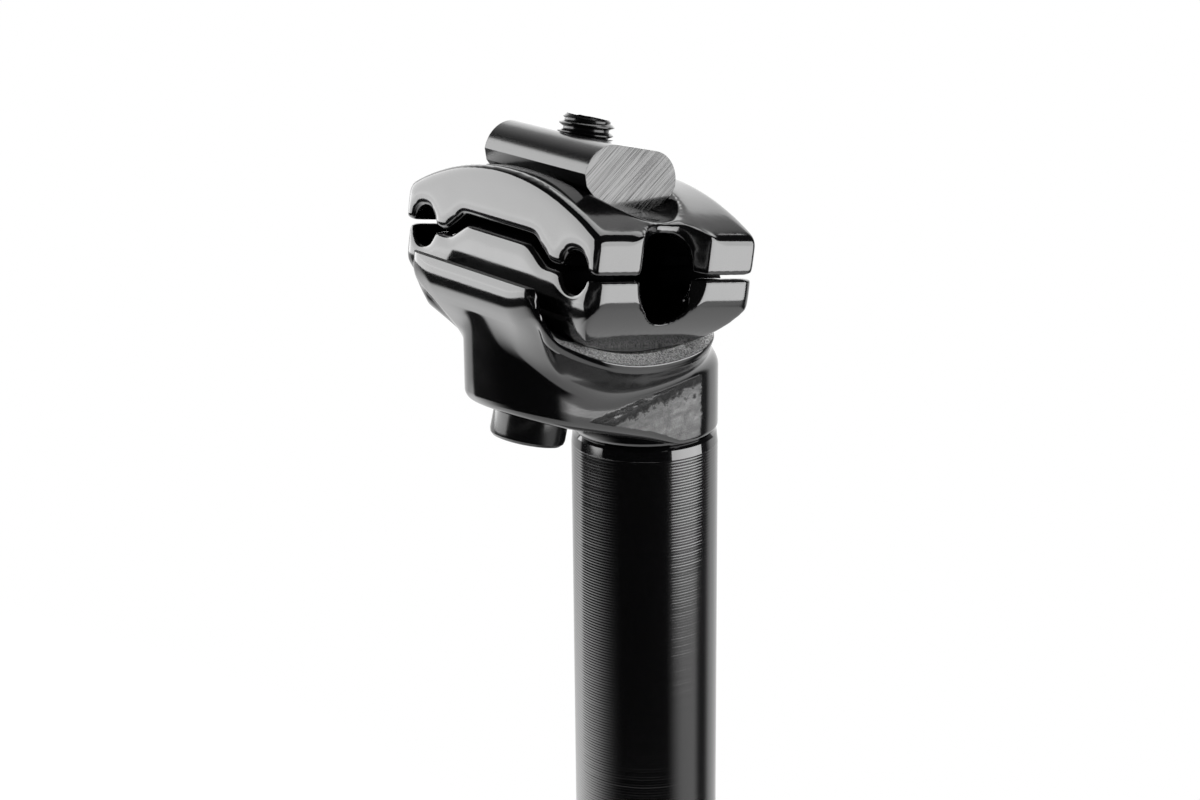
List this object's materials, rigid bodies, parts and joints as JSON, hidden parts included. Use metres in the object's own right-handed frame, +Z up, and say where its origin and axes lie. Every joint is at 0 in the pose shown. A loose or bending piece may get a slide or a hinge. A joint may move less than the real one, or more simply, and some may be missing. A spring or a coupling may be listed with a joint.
{
  "type": "bicycle seatpost",
  "caption": "Black aluminium bicycle seatpost with a setback head and a bolt-tightened rail clamp that tilts in a curved cradle.",
  "frame": {"origin": "middle of the tube's lower end, on the tube's axis", "axes": "+Z up the tube, +Y to the front of the bicycle, +X to its right side"},
  "size_m": [0.0556, 0.053, 0.374],
  "materials": {
    "tube_black": "anodised, fine turned grooves",
    "head_black": "gloss anodised forging",
    "clamp_black": "gloss anodised forging",
    "nut_black": "gloss anodised bar, sawn ends",
    "bolt_black": "black finished steel"
  },
  "bodies": {
    "post": {"post_tube": "tube_black", "head": "head_black"},
    "lower_clamp": {"lower_clamp": "clamp_black"},
    "clamp_bolt": {"clamp_bolt": "bolt_black"},
    "nut_bar": {"nut_bar": "nut_black"},
    "upper_clamp": {"upper_clamp": "clamp_black"}
  },
  "joints": [
    {"name": "saddle_tilt", "type": "hinge", "parent": "post", "child": "lower_clamp", "pos_m": [0, -0.01249, 0.37251], "axis": [1, 0, 0], "range_deg": [-5, 5]},
    {"name": "bolt_turn", "type": "hinge", "parent": "post", "child": "clamp_bolt", "pos_m": [0, -0.01249, 0.37251], "axis": [0, -0.2538, -0.9673], "range_deg": [0, 1080]},
    {"name": "nut_travel", "type": "slide", "parent": "post", "child": "nut_bar", "axis": [0, 0.2538, 0.9673], "range_m": [0, 0.0045]},
    {"name": "upper_tilt", "type": "hinge", "parent": "nut_bar", "child": "upper_clamp", "pos_m": [0, -0.01249, 0.37251], "axis": [1, 0, 0], "range_deg": [-5, 5]}
  ],
  "couplings": [
    {"joint": "bolt_turn", "follows": "nut_travel", "rad_per_m": 4188.8},
    {"joint": "upper_tilt", "follows": "saddle_tilt", "ratio": 1}
  ]
}
